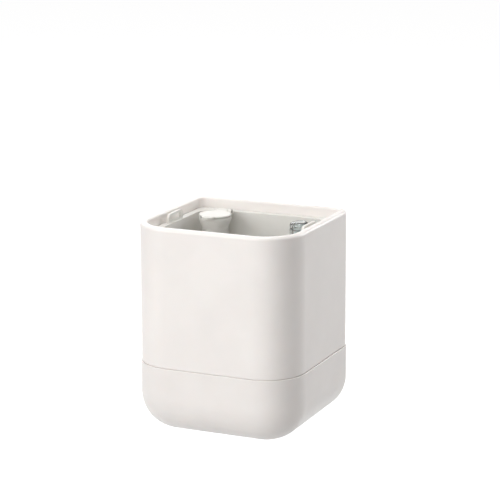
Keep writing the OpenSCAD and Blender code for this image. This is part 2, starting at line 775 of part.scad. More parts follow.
// Removable planting pot: flange, leaning walls, and a floor with its sockets and holes
module inner_pot() {
    ring_gap = push_gap + collar_ring_t;
    hole_in = pot_lean(pot_base_z) + pot_edge_r + drain_hole_d;
    columns = floor((pot_w / 2 - hole_in) / drain_pitch);
    rows = floor((pot_d / 2 - hole_in) / drain_pitch);
    color(inner_white) hung() difference() {
        union() {
            difference() {
                union() {
                    translate([0, 0, flange_low_z]) linear_extrude(flange_t)
                        body_outline(flange_in);
                    pot_form(0, pot_top_z);
                }
                pot_form(pot_t, pot_top_z + cut);
            }
            translate([fill_at.x, fill_at.y, pot_base_z])
                cylinder(r = fill_r + ring_gap, h = pot_t + collar_ring_h);
            translate([gauge_at.x, gauge_at.y, pot_base_z])
                cylinder(r = gauge_r + ring_gap, h = pot_t + collar_ring_h);
            translate([gauge_at.x, gauge_at.y, pot_base_z - spigot_h])
                cylinder(r = cage_bore_r - push_gap, h = spigot_h + pot_t / 2);
            for (s = [-1, 1])
                translate([s * pot_w / 2, -body_d / 2, pot_top_z]) pot_grip();
        }
        translate([fill_at.x, fill_at.y, pot_base_z - cut])
            cylinder(r = fill_r + push_gap, h = pot_t + collar_ring_h + 2 * cut);
        translate([gauge_at.x, gauge_at.y, pot_base_z - spigot_h - cut])
            cylinder(r = gauge_r + push_gap, h = spigot_h + pot_t + collar_ring_h + 2 * cut);
        for (p = wick_at) translate([p.x, p.y, pot_base_z - cut])
            cylinder(r = collar_neck_r + push_gap, h = pot_t + 2 * cut);
        for (ix = [-columns : columns], iy = [-rows : rows])
            if (drain_is_clear(ix * drain_pitch, -body_d / 2 + iy * drain_pitch))
                translate([ix * drain_pitch, -body_d / 2 + iy * drain_pitch, pot_base_z - cut])
                    cylinder(d = drain_hole_d, h = pot_t + 2 * cut);
    }
}

// Is a drain hole here clear of the wicks' collars and the two tubes' sockets?
function drain_is_clear(x, y) = min([
    norm([x, y] - wick_at[0]) - collar_flange_r,
    norm([x, y] - wick_at[1]) - collar_flange_r,
    norm([x, y] - fill_at) - fill_r - collar_ring_t,
    norm([x, y] - gauge_at) - cage_d / 2]) > drain_hole_d / 2 + cut;

// Is a slot of the grid here clear of the holes for wicks and tubes?
function slot_is_clear(x, y) = min([for (e = [-1, 0, 1])
    let (p = [x + e * (slot_l - slot_w) / 2, y]) min([
        norm(p - wick_at[0]) - wick_d / 2,
        norm(p - wick_at[1]) - wick_d / 2,
        norm(p - fill_at) - fill_r - collar_ring_t,
        norm(p - gauge_at) - gauge_r - collar_ring_t])]) > slot_w / 2 + grid_hole_gap + cut;

// Raised grid that keeps the pot's filling off its floor
module drainage_grid() {
    w = pot_w - 2 * grid_in;
    d = pot_d - 2 * grid_in;
    column = slot_l + slot_bar;
    foot_x = w / 2 - pot_edge_r - foot_r;
    foot_ys = [-pot_in - grid_in - d + pot_edge_r + foot_r, -body_d / 2];
    columns = floor((w / 2 - slot_l / 2 - slot_bar) / column);
    rows = floor((d / 2 - slot_bar - slot_w / 2) / slot_row);
    color(grid_grey) hung() {
        translate([0, 0, grid_z]) linear_extrude(grid_t) difference() {
            translate([0, -pot_in - grid_in])
                outline(w, d, pot_front_r - grid_in, pot_back_r - grid_in);
            for (ix = [-columns : columns], iy = [-rows : rows]) {
                x = ix * column;
                y = -body_d / 2 + iy * slot_row;
                if (slot_is_clear(x, y) && slot_in_corners(x, y, w, d))
                    translate([x, y]) {
                        square([slot_l - slot_w, slot_w], center = true);
                        for (e = [-1, 1]) translate([e * (slot_l - slot_w) / 2, 0])
                            rotate(e * 90 - 90) translate([0, -slot_w / 2])
                                half_disc(slot_w / 2);
                    }
            }
            for (p = wick_at) translate(p) circle(r = wick_d / 2 + grid_hole_gap);
            translate(fill_at) circle(r = fill_r + grid_hole_gap);
            translate(gauge_at) circle(r = gauge_r + grid_hole_gap);
        }
        for (s = [-1, 1], y = foot_ys)
            translate([s * foot_x, y, pot_floor_z + seat_gap])
                cylinder(r = foot_r, h = grid_stand - seat_gap + grid_t / 2);
        translate([0, foot_ys[0] + d - 2 * pot_edge_r - 2 * foot_r, pot_floor_z + seat_gap])
            cylinder(r = foot_r, h = grid_stand - seat_gap + grid_t / 2);
    }
}

// Half disc on the +X side, its flat from y = 0 to y = 2 * r
module half_disc(r) {
    translate([0, r]) {
        quarter(r);
        rotate(-90) quarter(r);
    }
}

// Does a slot here stay inside the grid's round corners?
function slot_in_corners(x, y, w, d) =
    let (r = pot_front_r - grid_in, px = abs(x) + slot_l / 2,
        py = abs(y + body_d / 2) + slot_w / 2, cx = w / 2 - r, cy = d / 2 - r)
    px < cx || py < cy || norm([px - cx, py - cy]) < r - slot_bar / 2;

// Rubber collar that holds one wick in the pot's floor
module wick_collar(at) {
    color(rubber_grey) hung() translate([at.x, at.y, pot_base_z]) rotate_extrude() {
        translate([wick_bore_r, -collar_flange_t])
            square([collar_neck_r - wick_bore_r, pot_t + 2 * collar_flange_t]);
        for (z = [-collar_flange_t, pot_t])
            translate([wick_bore_r, z])
                square([collar_flange_r - wick_bore_r, collar_flange_t]);
    }
}

// Stiff rod of bonded fibre that draws water up
module wick_rod(at) {
    edge = wick_d / 10;
    top_z = grid_z + grid_t + wick_above;
    color(wick_cream) hung() translate([at.x, at.y, sump_z])
        rotate_extrude() polygon([[0, 0], [wick_d / 2 - edge, 0], [wick_d / 2, edge],
            [wick_d / 2, top_z - sump_z - edge], [wick_d / 2 - edge, top_z - sump_z],
            [0, top_z - sump_z]]);
}

module wick_collar_left() {
    wick_collar(wick_at[0]);
}

module wick_collar_right() {
    wick_collar(wick_at[1]);
}

module wick_rod_left() {
    wick_rod(wick_at[0]);
}

module wick_rod_right() {
    wick_rod(wick_at[1]);
}

// Side view of a hinge ear: round about the pin, with a foot down to y = -foot_h
module ear_section(r, foot_h) {
    circle(r = r);
    translate([-r, -foot_h]) square([2 * r, foot_h]);
}

// Fill tube with a flared mouth, a shoulder that sits on its socket and two hinge ears
module fill_tube() {
    low_z = sump_z + fill_r / 2;
    bore_r = fill_r - fill_t;
    flare_z = mouth_z - mouth_h;
    shoulder_z = pot_floor_z + collar_ring_h;
    color(inner_white) hung() translate([fill_at.x, fill_at.y, 0]) difference() {
        union() {
            rotate_extrude() {
                translate([bore_r, low_z]) square([fill_t, flare_z - low_z]);
                translate([bore_r, shoulder_z]) square([fill_t + collar_ring_t, shoulder_t]);
                polygon([[bore_r, flare_z], [fill_r, flare_z], [mouth_r, mouth_z - shoulder_t],
                    [mouth_r, mouth_z], [mouth_r - fill_t, mouth_z],
                    [mouth_r - fill_t, mouth_z - shoulder_t]]);
            }
            for (s = [-1, 1])
                translate([s * (knuckle_l / 2 + hinge_gap + lug_t / 2), 0, 0])
                    hinge_ear();
        }
        translate([0, 0, low_z]) rotate([0, 90, 0])
            cylinder(r = bore_r / 2, h = 2 * fill_d, center = true);
        translate([0, hinge_y, hinge_z]) rotate([0, 90, 0])
            cylinder(r = pin_d / 2 + push_gap, h = 2 * fill_d, center = true);
    }
}

// One hinge ear of the mouth, reaching back from its edge to the pin
module hinge_ear() {
    arm_h = shoulder_t;
    rotate([90, 0, 90]) linear_extrude(lug_t, center = true) {
        translate([hinge_y, hinge_z]) ear_section(knuckle_r, hinge_z - mouth_z + arm_h);
        translate([mouth_r - 2 * fill_t, mouth_z - arm_h])
            square([hinge_y - mouth_r + 2 * fill_t, arm_h]);
    }
}

// Hinged flap over the fill tube's mouth, with a thumb tab and a ring that enters the mouth
module filler_flap() {
    ring_r = mouth_r - fill_t - plug_ring_gap;
    edge_r = flap_t / 2;
    color(inner_white) hung() translate([fill_at.x, fill_at.y, 0]) difference() {
        union() {
            translate([0, 0, flap_z]) rotate_extrude() {
                square([mouth_r - edge_r, flap_t]);
                translate([mouth_r - edge_r, edge_r]) quarter(edge_r);
                translate([mouth_r - edge_r, edge_r]) rotate(-90) quarter(edge_r);
            }
            translate([0, 0, flap_z - plug_ring_h]) difference() {
                cylinder(r = ring_r, h = plug_ring_h + flap_t / 2);
                translate([0, 0, -cut]) cylinder(r = ring_r - fill_t, h = plug_ring_h + cut);
            }
            translate([0, -mouth_r, flap_z]) cylinder(r = thumb_r, h = flap_t);
            translate([0, hinge_y, hinge_z]) rotate([0, 90, 0])
                cylinder(r = knuckle_r, h = knuckle_l, center = true);
            translate([-knuckle_l / 2, mouth_r - thumb_r, flap_z])
                cube([knuckle_l, hinge_y - mouth_r + thumb_r, flap_t]);
        }
        translate([0, hinge_y, hinge_z]) rotate([0, 90, 0])
            cylinder(r = pin_d / 2 + pin_clear, h = 2 * knuckle_l, center = true);
    }
}

// Steel hinge pin
module flap_pin() {
    pin_l = knuckle_l + 2 * hinge_gap + 2 * lug_t;
    color(pin_steel) hung() translate([fill_at.x, fill_at.y + hinge_y, hinge_z])
        rotate([0, 90, 0]) cylinder(d = pin_d, h = pin_l, center = true);
}

// Gauge tube: sits in its socket on a shoulder, and guides the stem at its foot
module gauge_tube() {
    shoulder_z = pot_floor_z + collar_ring_h;
    color(inner_white) hung() translate([gauge_at.x, gauge_at.y, 0]) rotate_extrude() {
        translate([gauge_bore_r, pot_base_z]) square([gauge_t, gauge_top_z - pot_base_z]);
        translate([gauge_bore_r, shoulder_z]) square([gauge_t + collar_ring_t, shoulder_t]);
        translate([stem_d / 2 + guide_gap, pot_base_z])
            square([gauge_r - stem_d / 2 - guide_gap, guide_h]);
    }
}

// Clear cap over the gauge tube's top, through which the marker shows
module sight_cap() {
    outer_r = sight_bore_r + sight_t;
    dome_r = sight_t + gauge_t;
    bore_r = gauge_bore_r;
    step_z = gauge_top_z + push_gap;
    color(clear_tint, 0.5) hung() translate([gauge_at.x, gauge_at.y, 0]) rotate_extrude() {
        translate([sight_bore_r, sight_low_z]) square([sight_t, step_z - sight_low_z]);
        translate([bore_r, step_z]) square([outer_r - bore_r, sight_top_z - dome_r - step_z]);
        translate([bore_r, sight_top_z - dome_r])
            square([outer_r - dome_r - bore_r, dome_r - sight_t]);
        translate([0, sight_top_z - sight_t]) square([outer_r - dome_r, sight_t]);
        translate([outer_r - dome_r, sight_top_z - dome_r]) quarter(dome_r);
    }
}

// Slotted cage that the float rides in, pushed over the spigot under the pot
module float_cage() {
    h = pot_base_z - sump_z;
    slot_h = h - spigot_h - 2 * cage_floor_t - cage_t;
    slot_w = cage_slot_share * cage_bore_r;
    color(grid_grey) hung() translate([gauge_at.x, gauge_at.y, sump_z]) difference() {
        cylinder(d = cage_d, h = h);
        translate([0, 0, cage_floor_t]) cylinder(r = cage_bore_r, h = h);
        translate([0, 0, -cut]) cylinder(r = stem_d, h = cage_floor_t + 2 * cut);
        for (k = [0 : cage_slots - 1]) rotate(k * 360 / cage_slots)
            translate([cage_bore_r / 2, -slot_w / 2, 2 * cage_floor_t])
                cube([cage_d / 2, slot_w, slot_h]);
    }
}

// Foam float, with the bore that its stem is pushed into
module float() {
    edge_r = float_h / 6;
    color(float_foam) hung() translate([gauge_at.x, gauge_at.y, float_z]) rotate_extrude() {
        bore_r = stem_d / 2 + push_gap;
        translate([bore_r, edge_r]) square([float_d / 2 - bore_r, float_h - 2 * edge_r]);
        translate([bore_r, 0]) square([float_d / 2 - bore_r - edge_r, edge_r]);
        translate([bore_r, float_h - edge_r]) square([float_d / 2 - bore_r - edge_r, edge_r]);
        translate([float_d / 2 - edge_r, edge_r]) rotate(-90) quarter(edge_r);
        translate([float_d / 2 - edge_r, float_h - edge_r]) quarter(edge_r);
    }
}

// Stem from the float up to the marker
module float_stem() {
    low_z = float_z + float_h / 6;
    color(inner_white) hung() translate([gauge_at.x, gauge_at.y, low_z])
        cylinder(d = stem_d, h = marker_z + marker_h / 2 - low_z);
}

// Coloured marker on the stem's top
module level_marker() {
    edge_r = marker_d / 6;
    bore_h = marker_h / 2 + push_gap;
    color(marker_red) hung() translate([gauge_at.x, gauge_at.y, marker_z]) difference() {
        rotate_extrude() {
            square([marker_d / 2, marker_h - edge_r]);
            translate([0, marker_h - edge_r]) square([marker_d / 2 - edge_r, edge_r]);
            translate([marker_d / 2 - edge_r, marker_h - edge_r]) quarter(edge_r);
        }
        translate([0, 0, -cut]) cylinder(r = stem_d / 2 + push_gap, h = bore_h + cut);
    }
}

wall_bracket();
sleeve();
wall_bumpers();
seam_gasket();
reservoir();
drain_plug();
inner_pot();
drainage_grid();
wick_collar_left();
wick_collar_right();
wick_rod_left();
wick_rod_right();
fill_tube();
filler_flap();
flap_pin();
gauge_tube();
sight_cap();
float_cage();
float();
float_stem();
level_marker();
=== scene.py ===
import json
import bpy
import numpy as np
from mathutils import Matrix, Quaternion, Vector


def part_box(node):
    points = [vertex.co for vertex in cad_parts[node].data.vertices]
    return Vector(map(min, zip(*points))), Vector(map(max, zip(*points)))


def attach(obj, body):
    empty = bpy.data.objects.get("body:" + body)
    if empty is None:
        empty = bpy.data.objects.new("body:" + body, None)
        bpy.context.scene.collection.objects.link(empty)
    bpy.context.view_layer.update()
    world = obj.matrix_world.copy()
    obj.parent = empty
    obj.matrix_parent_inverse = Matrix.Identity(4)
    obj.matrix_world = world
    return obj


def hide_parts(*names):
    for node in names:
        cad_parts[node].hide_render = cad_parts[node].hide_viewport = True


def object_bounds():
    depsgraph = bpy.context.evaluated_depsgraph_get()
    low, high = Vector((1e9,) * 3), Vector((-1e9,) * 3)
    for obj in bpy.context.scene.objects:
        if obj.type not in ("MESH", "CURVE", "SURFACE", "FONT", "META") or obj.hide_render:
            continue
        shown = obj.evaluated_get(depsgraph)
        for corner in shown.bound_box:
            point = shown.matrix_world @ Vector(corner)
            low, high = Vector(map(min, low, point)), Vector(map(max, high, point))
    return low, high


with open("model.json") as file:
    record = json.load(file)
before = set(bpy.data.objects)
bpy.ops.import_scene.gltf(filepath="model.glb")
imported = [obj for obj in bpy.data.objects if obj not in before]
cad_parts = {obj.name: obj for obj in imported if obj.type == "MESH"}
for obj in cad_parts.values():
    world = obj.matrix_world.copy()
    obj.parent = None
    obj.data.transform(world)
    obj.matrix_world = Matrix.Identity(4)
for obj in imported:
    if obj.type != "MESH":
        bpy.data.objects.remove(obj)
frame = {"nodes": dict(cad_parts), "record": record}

cad_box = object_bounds()
MM = 0.001
nodes = frame["nodes"]


# Colour and shader helpers

def linear(hex_colour):
    """sRGB hex to linear, with full alpha: each channel c becomes c / 12.92 below 0.04045, and
    otherwise ((c + 0.055) / 1.055) to the power 2.4."""
    c = np.array([int(hex_colour[i:i + 2], 16) for i in (1, 3, 5)]) / 255.0
    c = np.where(c <= 0.04045, c / 12.92, ((c + 0.055) / 1.055) ** 2.4)
    return (*c.tolist(), 1.0)


def add(tree, kind, fields=None, sockets=None, stops=()):
    """Adds one node, sets its fields, and gives each named or numbered socket its value, or
    links it where the value is another node's output. Stops are a colour ramp's, as pairs of
    place and hex colour."""
    made = tree.nodes.new(kind)
    for field, value in (fields or {}).items():
        setattr(made, field, value)
    for key, value in (sockets or {}).items():
        if isinstance(value, bpy.types.NodeSocket):
            tree.links.new(value, made.inputs[key])
        else:
            made.inputs[key].default_value = value
    if stops:
        points = made.color_ramp.elements
        while len(points) < len(stops):
            points.new(0.5)
        for point, (place, colour) in zip(points, stops):
            point.position = place
            point.color = linear(colour)
    return made


def per(size_mm):
    """Scale of a texture on Object coordinates whose cells are to be size_mm across."""
    return 1.0 / (size_mm * MM)


def new_material(name):
    """An empty node material, with its output node and its Object coordinates."""
    m = bpy.data.materials.new(name)
    m.use_nodes = True
    m.node_tree.nodes.clear()
    out = add(m.node_tree, "ShaderNodeOutputMaterial")
    where = add(m.node_tree, "ShaderNodeTexCoord").outputs["Object"]
    return m, m.node_tree, out, where


def seen_share(tree):
    """1 for a ray from the camera, or one that the object mirrors or lets through to it, and 0
    for the light's own bounces."""
    ray = add(tree, "ShaderNodeLightPath")
    seen = add(tree, "ShaderNodeMath", {"operation": "MAXIMUM"}, {
        0: ray.outputs["Is Camera Ray"], 1: ray.outputs["Is Glossy Ray"]})
    return add(tree, "ShaderNodeMath", {"operation": "MAXIMUM"}, {
        0: seen.outputs["Value"], 1: ray.outputs["Is Transmission Ray"]}).outputs["Value"]


def moulded(name, light, dark, cloud_mm, rough, grain_mm, grain_depth_mm, ior=1.49, glow=0.0):
    """A moulded plastic: its pigment drifts between two tones over cloud_mm, its gloss drifts
    with the melt's flow, and its skin has the mould's own grain. Glow is the share of light that
    enters the plastic and comes out warmer, about 2 mm away."""
    m, tree, out, where = new_material(name)
    cloud = add(tree, "ShaderNodeTexNoise", sockets={
        "Vector": where, "Scale": per(cloud_mm), "Detail": 3.0, "Roughness": 0.55})
    flow = add(tree, "ShaderNodeTexNoise", sockets={
        "Vector": where, "Scale": per(cloud_mm / 3), "Detail": 4.0, "Distortion": 0.6})
    grain = add(tree, "ShaderNodeTexNoise", sockets={
        "Vector": where, "Scale": per(grain_mm), "Detail": 2.0, "Roughness": 0.6})
    skin = add(tree, "ShaderNodeBump", sockets={
        "Height": grain.outputs["Fac"], "Strength": 1.0, "Distance": grain_depth_mm * MM})
    tone = add(tree, "ShaderNodeValToRGB", sockets={"Fac": cloud.outputs["Fac"]},
               stops=[(0.35, dark), (0.65, light)])
    gloss = add(tree, "ShaderNodeMapRange", sockets={
        "Value": flow.outputs["Fac"], "To Min": rough[0], "To Max": rough[1]})
    shader = add(tree, "ShaderNodeBsdfPrincipled", sockets={
        "Base Color": tone.outputs["Color"], "Roughness": gloss.outputs["Result"],
        "Normal": skin.outputs["Normal"], "IOR": ior, "Subsurface Weight": glow,
        "Subsurface Scale": 2.0 * MM, "Subsurface Radius": (1.0, 0.6, 0.45)})
    tree.links.new(shader.outputs["BSDF"], out.inputs["Surface"])
    return m


# Materials

# Polypropylene from a polished mould: warm white, satin gloss, a faint orange peel of 1.6 mm.
satin = dict(cloud_mm=40.0, rough=(0.28, 0.38), grain_mm=1.6, grain_depth_mm=0.006, glow=0.08)
satin_shell = moulded("satin_polypropylene_shell", "#f3eeea", "#efeae6", **satin)
# The same plastic and mould finish in the tank, with both tones three levels darker: painted
# shade on the lower shell.
satin_tank_painted_shade = moulded("satin_polypropylene_tank_painted_shade", "#f0ebe7", "#ece7e3", **satin)
# Polypropylene from a spark-eroded mould: softer white, matt, with a grain of 0.5 mm, drawn
# coarser than the real one so that it shows.
grained_pot = moulded("grained_polypropylene_pot", "#eae8e3", "#e6e4de", cloud_mm=22.0,
                      rough=(0.48, 0.62), grain_mm=0.5, grain_depth_mm=0.02, glow=0.06)
# Recycled polypropylene: cool grey, matt, with the pot's grain and pigment that drifts more.
grained_grid = moulded("recycled_polypropylene_grid", "#b2b5b6", "#abaeb0", cloud_mm=14.0,
                       rough=(0.5, 0.66), grain_mm=0.5, grain_depth_mm=0.025)
# Thermoplastic rubber: mid grey, dull, with a bloom on its skin, drawn coarser than the real one.
bumper_rubber = moulded("thermoplastic_rubber", "#8f9295", "#7d8184", cloud_mm=5.0,
                        rough=(0.62, 0.8), grain_mm=0.35, grain_depth_mm=0.02, ior=1.52)
# Polished ABS: saturated red, glossy.
marker_red = moulded("polished_abs_marker", "#c93423", "#b92a1b", cloud_mm=6.0,
                     rough=(0.12, 0.2), grain_mm=1.2, grain_depth_mm=0.004, ior=1.54)


def closed_cell_foam():
    """Expanded foam: cells of 0.7 mm, each a low dome, with darker lines of painted shade where
    they meet.
    """
    m, tree, out, where = new_material("closed_cell_foam")
    cells = add(tree, "ShaderNodeTexVoronoi", {"feature": "DISTANCE_TO_EDGE"}, {
        "Vector": where, "Scale": per(0.7)})
    dome = add(tree, "ShaderNodeMapRange", sockets={
        "Value": cells.outputs["Distance"], "To Min": 0.0, "To Max": 2.0})
    skin = add(tree, "ShaderNodeBump", sockets={
        "Height": dome.outputs["Result"], "Strength": 1.0, "Distance": 0.06 * MM})
    # Painted shade: the colour darkens at the cells' edges, in the creases between the domes.
    tone = add(tree, "ShaderNodeValToRGB", sockets={"Fac": cells.outputs["Distance"]},
               stops=[(0.0, "#dcdad4"), (0.18, "#f4f3ef")])
    shader = add(tree, "ShaderNodeBsdfPrincipled", sockets={
        "Base Color": tone.outputs["Color"], "Roughness": 0.7,
        "Normal": skin.outputs["Normal"], "IOR": 1.5})
    tree.links.new(shader.outputs["BSDF"], out.inputs["Surface"])
    return m


def ground_steel():
    """Stainless steel pin, centreless ground: fine marks round it, every 0.08 mm along X, which
    is coarser than real ones so that they show."""
    m, tree, out, where = new_material("centreless_ground_stainless")
    turned = add(tree, "ShaderNodeMapping", sockets={"Vector": where, "Scale": (1.0, 0.02, 0.02)})
    marks = add(tree, "ShaderNodeTexNoise", sockets={
        "Vector": turned.outputs["Vector"], "Scale": per(0.08), "Detail": 2.0})
    skin = add(tree, "ShaderNodeBump", sockets={
        "Height": marks.outputs["Fac"], "Strength": 0.5, "Distance": 0.005 * MM})
    tone = add(tree, "ShaderNodeValToRGB", sockets={"Fac": marks.outputs["Fac"]},
               stops=[(0.3, "#a9adb1"), (0.7, "#c6c9cc")])
    gloss = add(tree, "ShaderNodeMapRange", sockets={
        "Value": marks.outputs["Fac"], "To Min": 0.22, "To Max": 0.34})
    shader = add(tree, "ShaderNodeBsdfPrincipled", sockets={
        "Base Color": tone.outputs["Color"], "Roughness": gloss.outputs["Result"],
        "Metallic": 1.0, "Normal": skin.outputs["Normal"]})
    tree.links.new(shader.outputs["BSDF"], out.inputs["Surface"])
    return m


def powder_coat():
    """Powder coat on pressed steel: the flowed film keeps a pebbled skin of 0.9 mm, with finer
    specks of unmelted powder in it."""
    m, tree, out, where = new_material("powder_coated_steel")
    pebble = add(tree, "ShaderNodeTexNoise", sockets={
        "Vector": where, "Scale": per(0.9), "Detail": 2.0, "Roughness": 0.5})
    speck = add(tree, "ShaderNodeTexVoronoi", sockets={"Vector": where, "Scale": per(0.45)})
    skin = add(tree, "ShaderNodeBump", sockets={
        "Height": pebble.outputs["Fac"], "Strength": 1.0, "Distance": 0.03 * MM})
    tone = add(tree, "ShaderNodeValToRGB", sockets={"Fac": speck.outputs["Distance"]},
               stops=[(0.0, "#d9d9d6"), (0.4, "#e3e3e0")])
    gloss = add(tree, "ShaderNodeMapRange", sockets={
        "Value": pebble.outputs["Fac"], "To Min": 0.34, "To Max": 0.5})
    shader = add(tree, "ShaderNodeBsdfPrincipled", sockets={
        "Base Color": tone.outputs["Color"], "Roughness": gloss.outputs["Result"],
        "Normal": skin.outputs["Normal"], "IOR": 1.5})
    tree.links.new(shader.outputs["BSDF"], out.inputs["Surface"])
    return m


def clear_polycarbonate():
    """Clear polycarbonate: transmits, has a slight cool tint, and is lightly rubbed by wiping."""
    m, tree, out, where = new_material("clear_polycarbonate")
    rubbed = add(tree, "ShaderNodeTexNoise", sockets={
        "Vector": where, "Scale": per(3.0), "Detail": 5.0, "Distortion": 1.5})
    gloss = add(tree, "ShaderNodeMapRange", sockets={
        "Value": rubbed.outputs["Fac"], "To Min": 0.02, "To Max": 0.1})
    shader = add(tree, "ShaderNodeBsdfPrincipled", sockets={
        "Base Color": linear("#f1f7f9"), "IOR": 1.585, "Transmission Weight": 1.0,
        "Roughness": gloss.outputs["Result"]})
    tree.links.new(shader.outputs["BSDF"], out.inputs["Surface"])
    return m


def woven_polyester():
    """Bonded polyester fibre: cream, with a fuzz of 0.3 mm, drawn coarser than real fibres so
    that it shows, and a soft sheen. The wick's own attribute "strand" runs from 0 in a groove
    to 1 on top of a strand, and darkens the colour in the grooves: painted shade."""
    m, tree, out, where = new_material("braided_polyester_wick")
    strand = add(tree, "ShaderNodeAttribute", {"attribute_name": "strand"}).outputs["Fac"]
    fibre = add(tree, "ShaderNodeTexNoise", sockets={
        "Vector": where, "Scale": per(0.3), "Detail": 3.0, "Roughness": 0.7})
    both = add(tree, "ShaderNodeMath", {"operation": "MULTIPLY_ADD"}, {
        0: fibre.outputs["Fac"], 1: 0.45, 2: strand})
    skin = add(tree, "ShaderNodeBump", sockets={
        "Height": fibre.outputs["Fac"], "Strength": 1.0, "Distance": 0.08 * MM})
    # Painted shade: the colour darkens where the weave is low, in the grooves between strands.
    tone = add(tree, "ShaderNodeValToRGB", sockets={"Fac": both.outputs["Value"]},
               stops=[(0.15, "#a99f88"), (0.55, "#dcd3bd"), (1.0, "#efe8d8")])
    shader = add(tree, "ShaderNodeBsdfPrincipled", sockets={
        "Base Color": tone.outputs["Color"], "Roughness": 0.85,
        "Normal": skin.outputs["Normal"], "IOR": 1.5,
        "Sheen Weight": 0.35, "Sheen Roughness": 0.5})
    tree.links.new(shader.outputs["BSDF"], out.inputs["Surface"])
    return m


def screen_ink():
    """Screen-printed ink: dark grey, thin, with the slight mottle of the mesh at 0.25 mm, drawn
    coarser than the real one."""
    m, tree, out, where = new_material("screen_printed_ink")
    mottle = add(tree, "ShaderNodeTexNoise", sockets={"Vector": where, "Scale": per(0.25)})
    tone = add(tree, "ShaderNodeValToRGB", sockets={"Fac": mottle.outputs["Fac"]},
               stops=[(0.3, "#44484b"), (0.7, "#54585b")])
    shader = add(tree, "ShaderNodeBsdfPrincipled", sockets={
        "Base Color": tone.outputs["Color"], "Roughness": 0.5, "IOR": 1.5})
    tree.links.new(shader.outputs["BSDF"], out.inputs["Surface"])
    return m


finishes = {
    "shell_plastic": satin_shell, "inner_plastic": grained_pot, "grid_plastic": grained_grid,
    "rubber": bumper_rubber, "marker_plastic": marker_red, "float_foam": closed_cell_foam(),
    "pin_steel": ground_steel(), "bracket_steel": powder_coat(),
    "clear_plastic": clear_polycarbonate(), "wick_fibre": woven_polyester()}
for part in frame["record"]["subparts"]:
    mesh = nodes[part["node"]].data
    mesh.materials.clear()
    # The reservoir gets the shell's plastic with painted shade.
    mesh.materials.append(satin_tank_painted_shade if part["node"] == "reservoir"
                          else finishes[part["material_slot"]])


# New pieces

def smooth_piece(name, verts, faces, material):
    """A smooth-shaded mesh in an unturned object at the origin, so its place is in its mesh."""
    mesh = bpy.data.meshes.new(name)
    mesh.from_pydata(verts.tolist(), [], faces)
    mesh.polygons.foreach_set("use_smooth", np.ones(len(mesh.polygons), bool))
    mesh.materials.append(material)
    piece = bpy.data.objects.new(name, mesh)
    bpy.context.scene.collection.objects.link(piece)
    return piece


def ring_quads(rows, cols, closed):
    """Quads between neighbouring rings of cols points, each ring closed on itself. Where closed
    is true, the last ring joins the first."""
    i = np.arange(rows if closed else rows - 1)[:, None]
    a = np.arange(cols)[None, :]
    b = (a + 1) % cols
    low, high = i * cols, (i + 1) % rows * cols
    return np.stack([low + a, low + b, high + b, high + a], -1).reshape(-1, 4).tolist()


def closed_round(name, points, ends, material):
    """A skin over rows of points, each row a ring that closes on itself, and the first and last
    rings closed to one point each. Points is rows by columns by 3."""
    rows, cols = points.shape[:2]
    verts = np.concatenate([points.reshape(-1, 3), np.array(ends, float)])
    a = np.arange(cols)
    b = (a + 1) % cols
    last = (rows - 1) * cols
    low = np.stack([np.full(cols, rows * cols), b, a], -1)
    high = np.stack([np.full(cols, rows * cols + 1), last + a, last + b], -1)
    return smooth_piece(name, verts, ring_quads(rows, cols, False) + low.tolist() + high.tolist(),
                        material)


def braided_wick(name, node):
    """Round braid of 2 x 8 strands. Around the turn a and along the length z, one family of
    strands runs on u = 8 a + z / step and the other on v = 8 a - z / step, both in turns of one
    strand. Each strand is half an ellipse across its own width, and rises and dips by turns
    where it crosses the other family. The surface is the higher of the two. The ends round in
    over 1.6 mm."""
    low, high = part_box(node)
    mid = (low + high) / 2
    full = (high.x - low.x) / 2
    rows, cols, strands, step = 200, 128, 8, 7.0 * MM
    groove, dip, end, first = 0.75 * MM, 0.2, 1.6 * MM, 0.02
    z = np.linspace(low.z, high.z, rows)[:, None]
    a = np.arange(cols)[None, :] / cols
    u, v = strands * a + (z - low.z) / step, strands * a - (z - low.z) / step
    across = [np.sqrt(np.clip(1.0 - (2.0 * np.mod(t, 1.0) - 1.0) ** 2, 0.0, 1.0)) for t in (u, v)]
    over = np.cos(np.pi * (np.floor(u) + np.floor(v)))
    weave = np.maximum(across[0] * (1.0 - dip + dip * over), across[1] * (1.0 - dip - dip * over))
    inset = np.minimum(z - low.z, high.z - z)
    round_in = np.sqrt(np.clip(1.0 - (1.0 - np.clip(inset / end, first, 1.0)) ** 2, 0.0, 1.0))
    r = (full - groove * (1.0 - weave)) * round_in
    turn = 2.0 * np.pi * a
    points = np.stack([mid.x + r * np.cos(turn), mid.y + r * np.sin(turn),
                       np.broadcast_to(z, r.shape)], -1)
    piece = closed_round(name, points, [(mid.x, mid.y, low.z), (mid.x, mid.y, high.z)],
                         finishes["wick_fibre"])
    # The weave's height goes to the wick's colour, which it darkens in the grooves as painted
    # shade.
    strand = piece.data.attributes.new("strand", "FLOAT", "POINT")
    at_ends = [0.3, 0.3]
    strand.data.foreach_set("value", np.append(weave.ravel(), at_ends).astype(np.float32))
    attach(piece, "pot")
    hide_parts(node)


braided_wick("braided_wick_left", "wick_rod_left")
braided_wick("braided_wick_right", "wick_rod_right")


